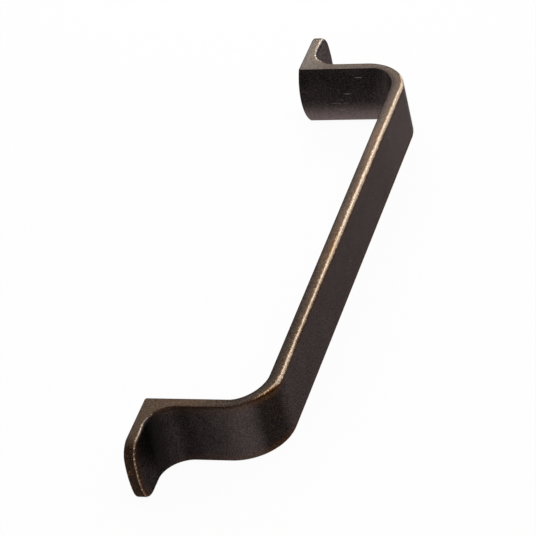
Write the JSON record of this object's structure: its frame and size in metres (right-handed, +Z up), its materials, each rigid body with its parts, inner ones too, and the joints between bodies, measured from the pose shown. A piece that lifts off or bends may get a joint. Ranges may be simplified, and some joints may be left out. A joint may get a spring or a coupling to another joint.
{
  "type": "cabinet handle",
  "caption": "Cast cabinet and drawer handle: a flat strap grip on crowned legs whose outturned feet lie on the door, screwed from behind; dark bronze finish with rubbed edges.",
  "frame": {"origin": "on the door face, midway between the screw holes, at mid width", "axes": "+X along the grip, +Y into the door, so the grip stands out towards -Y, +Z up across the width"},
  "size_m": [0.1644, 0.0293, 0.0154],
  "materials": {
    "antique_bronze": "antique bronze plating on a zinc casting, satin, rubbed through to pale brass on the front edges"
  },
  "bodies": {
    "root": {"pull_handle": "antique_bronze"}
  },
  "joints": []
}
